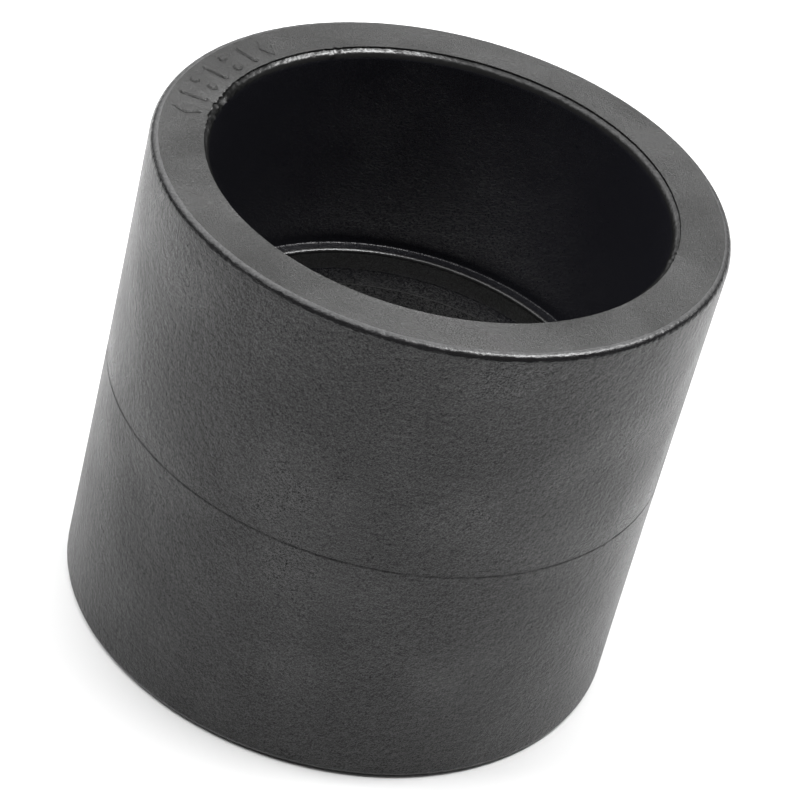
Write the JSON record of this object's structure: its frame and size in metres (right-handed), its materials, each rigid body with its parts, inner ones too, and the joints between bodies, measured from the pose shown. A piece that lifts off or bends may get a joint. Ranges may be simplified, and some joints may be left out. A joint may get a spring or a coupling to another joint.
{
  "type": "pipe coupling",
  "caption": "Short thick-walled black polyethylene sleeve that joins two 40 mm pipes end to end by socket fusion, with a stop ring at mid-length.",
  "frame": {"origin": "centre of the plain lower end face, on the bore axis", "axes": "+Z along the bore axis, from the plain end face towards the end face with the raised marks; +X and +Y are free"},
  "size_m": [0.0494, 0.0494, 0.0452],
  "materials": {
    "black_polyethylene": "moulded black polyethylene, fine spark-eroded grain outside, smoother and glossier in the sockets"
  },
  "bodies": {
    "root": {"coupling_body": "black_polyethylene", "raised_marks": "black_polyethylene"}
  },
  "joints": []
}
